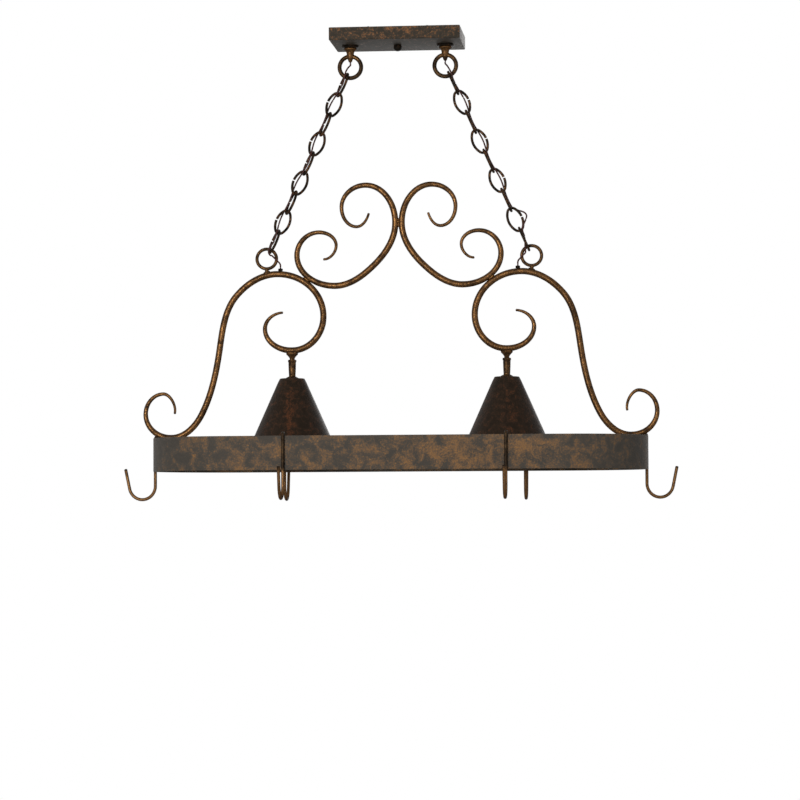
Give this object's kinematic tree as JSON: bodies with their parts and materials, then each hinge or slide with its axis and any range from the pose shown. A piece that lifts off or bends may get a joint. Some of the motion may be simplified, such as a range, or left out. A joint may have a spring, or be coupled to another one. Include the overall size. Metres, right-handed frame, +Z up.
{
  "type": "hanging pot rack",
  "caption": "Ceiling-hung oval pot rack: scrolled iron frame on two chains, with downlights over a flat band that carries loose hooks.",
  "frame": {"origin": "centre of the canopy rim, on the ceiling plane, midway between the two ceiling box screws", "axes": "+Z up, +X along the rack to the right as seen from the front, +Y to the back"},
  "size_m": [0.8352, 0.3542, 0.7111],
  "materials": {
    "antique_iron": "hand-rubbed brown with copper sponging, satin",
    "band_iron": "dark grey-brown with copper sponging, satin",
    "shade_iron": "very dark brown with red-brown sponging, satin",
    "chain_iron": "dark brown, satin",
    "hook_iron": "dark brown worn to copper along the bends",
    "zinc_steel": "zinc plated",
    "lead_sheath": "dark red-brown sheath",
    "holder_shell": "black moulded shell",
    "connector_shell": "moulded twist-on connector"
  },
  "bodies": {
    "canopy": {"canopy": "antique_iron", "mounting_strap": "zinc_steel", "strap_screws": "zinc_steel", "canopy_stud": "zinc_steel", "cap_nut": "antique_iron", "canopy_loop_left": "antique_iron", "canopy_loop_right": "antique_iron", "loop_seat_washers": "antique_iron", "loop_nipples": "zinc_steel", "loop_locknuts": "zinc_steel", "wire_connectors": "connector_shell", "lead_left_canopy": "lead_sheath", "lead_right_canopy": "lead_sheath"},
    "top_link_left": {"chain_left_link_1": "chain_iron"},
    "top_link_right": {"chain_right_link_1": "chain_iron"},
    "chain_left": {"chain_left_link_2": "chain_iron", "chain_left_link_3": "chain_iron", "chain_left_link_4": "chain_iron", "chain_left_link_5": "chain_iron", "chain_left_link_6": "chain_iron", "chain_left_link_7": "chain_iron", "chain_left_link_8": "chain_iron", "lead_left_chain": "lead_sheath"},
    "chain_right": {"chain_right_link_2": "chain_iron", "chain_right_link_3": "chain_iron", "chain_right_link_4": "chain_iron", "chain_right_link_5": "chain_iron", "chain_right_link_6": "chain_iron", "chain_right_link_7": "chain_iron", "chain_right_link_8": "chain_iron", "lead_right_chain": "lead_sheath"},
    "bottom_link_left": {"chain_left_link_9": "chain_iron"},
    "bottom_link_right": {"chain_right_link_9": "chain_iron"},
    "rack": {"upper_scroll_left": "antique_iron", "upper_scroll_right": "antique_iron", "lower_scroll_left": "antique_iron", "lower_scroll_right": "antique_iron", "hanging_ring_left": "antique_iron", "hanging_ring_right": "antique_iron", "lead_bushings": "chain_iron", "rack_band": "band_iron", "end_crossbars": "antique_iron", "neck_brackets": "antique_iron", "neck_barrel_left": "antique_iron", "neck_barrel_right": "antique_iron", "shade_caps": "antique_iron", "shade_nipples": "zinc_steel", "shade_nuts": "zinc_steel", "shade_left": "shade_iron", "shade_right": "shade_iron", "lampholder_left": "holder_shell", "lampholder_right": "holder_shell", "lead_left_frame": "lead_sheath", "lead_right_frame": "lead_sheath"},
    "hook_left_end": {"pot_hook_left_end": "hook_iron"},
    "hook_right_end": {"pot_hook_right_end": "hook_iron"},
    "hook_front_left": {"pot_hook_front_left": "hook_iron"},
    "hook_front_right": {"pot_hook_front_right": "hook_iron"},
    "hook_rear_left": {"pot_hook_rear_left": "hook_iron"},
    "hook_rear_right": {"pot_hook_rear_right": "hook_iron"}
  },
  "joints": [
    {"name": "swing", "type": "hinge", "parent": "canopy", "child": "top_link_left", "pos_m": [-0.07812, 0, -0.0663], "axis": [1, 0, 0], "range_deg": [-12, 12], "deforming": ["lead_left_chain"]},
    {"name": "swing_right", "type": "hinge", "parent": "canopy", "child": "top_link_right", "pos_m": [0.07812, 0, -0.0663], "axis": [1, 0, 0], "range_deg": [-12, 12], "deforming": ["lead_right_chain"]},
    {"name": "sway", "type": "hinge", "parent": "top_link_left", "child": "chain_left", "pos_m": [-0.09067, 0, -0.09453], "axis": [0, 1, 0], "range_deg": [-7, 7], "deforming": ["lead_left_chain"]},
    {"name": "sway_right", "type": "hinge", "parent": "top_link_right", "child": "chain_right", "pos_m": [0.09067, 0, -0.09453], "axis": [0, 1, 0], "range_deg": [-7, 7], "deforming": ["lead_right_chain"]},
    {"name": "sway_end_left", "type": "hinge", "parent": "chain_left", "child": "bottom_link_left", "pos_m": [-0.1802, 0, -0.29604], "axis": [0, 1, 0], "range_deg": [-4, 4], "deforming": ["lead_left_chain"]},
    {"name": "sway_end_right", "type": "hinge", "parent": "chain_right", "child": "bottom_link_right", "pos_m": [0.18057, 0, -0.29686], "axis": [0, 1, 0], "range_deg": [-4, 4], "deforming": ["lead_right_chain"]},
    {"name": "tilt", "type": "hinge", "parent": "bottom_link_left", "child": "rack", "pos_m": [-0.19299, 0, -0.32482], "axis": [1, 0, 0], "range_deg": [-12, 12], "deforming": ["lead_left_chain"]},
    {"name": "hook_left_end_turn", "type": "hinge", "parent": "rack", "child": "hook_left_end", "pos_m": [-0.245, 0, -0.6072], "axis": [0, 0, 1], "range_deg": [-11, 3]},
    {"name": "hook_right_end_turn", "type": "hinge", "parent": "rack", "child": "hook_right_end", "pos_m": [0.245, 0, -0.6072], "axis": [0, 0, 1], "range_deg": [-13, 1]},
    {"name": "hook_front_left_slide", "type": "slide", "parent": "rack", "child": "hook_front_left", "axis": [1, 0, 0], "range_m": [-0.0815, 0.1485]},
    {"name": "hook_front_right_slide", "type": "slide", "parent": "rack", "child": "hook_front_right", "axis": [1, 0, 0], "range_m": [-0.156, 0.074]},
    {"name": "hook_rear_left_slide", "type": "slide", "parent": "rack", "child": "hook_rear_left", "axis": [1, 0, 0], "range_m": [-0.05, 0.18]},
    {"name": "hook_rear_right_slide", "type": "slide", "parent": "rack", "child": "hook_rear_right", "axis": [1, 0, 0], "range_m": [-0.171, 0.059]}
  ],
  "couplings": [
    {"joint": "swing_right", "follows": "swing", "ratio": 1},
    {"joint": "sway_right", "follows": "sway", "ratio": 1},
    {"joint": "sway_end_left", "follows": "sway", "ratio": -0.5025},
    {"joint": "sway_end_right", "follows": "sway", "ratio": -0.5025}
  ]
}
